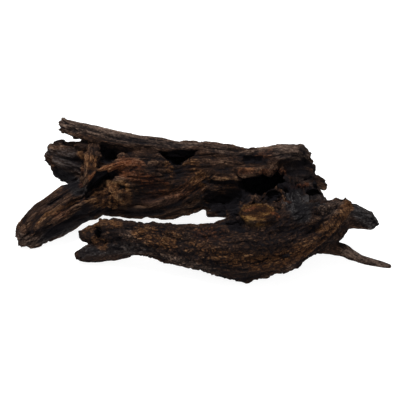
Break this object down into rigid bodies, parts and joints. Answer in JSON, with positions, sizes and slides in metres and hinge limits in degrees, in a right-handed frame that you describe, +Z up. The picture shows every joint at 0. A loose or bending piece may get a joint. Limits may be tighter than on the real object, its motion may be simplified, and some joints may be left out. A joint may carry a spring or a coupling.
{
  "type": "ebony log",
  "caption": "Gnarled dark driftwood log: a hollowed trunk with a front root alongside, a leg, a splintered rib, a forked end, a sawn knot, a horn and a thin tail.",
  "frame": {"origin": "on the ground, under the middle of the log's outer box", "axes": "+X along the log towards the horn and the tail, +Y towards the trunk's back, +Z up"},
  "size_m": [0.4434, 0.2442, 0.1232],
  "materials": {
    "weathered_ebony": "dry, matte, deeply grained"
  },
  "bodies": {
    "root": {"ebony_log": "weathered_ebony"}
  },
  "joints": []
}
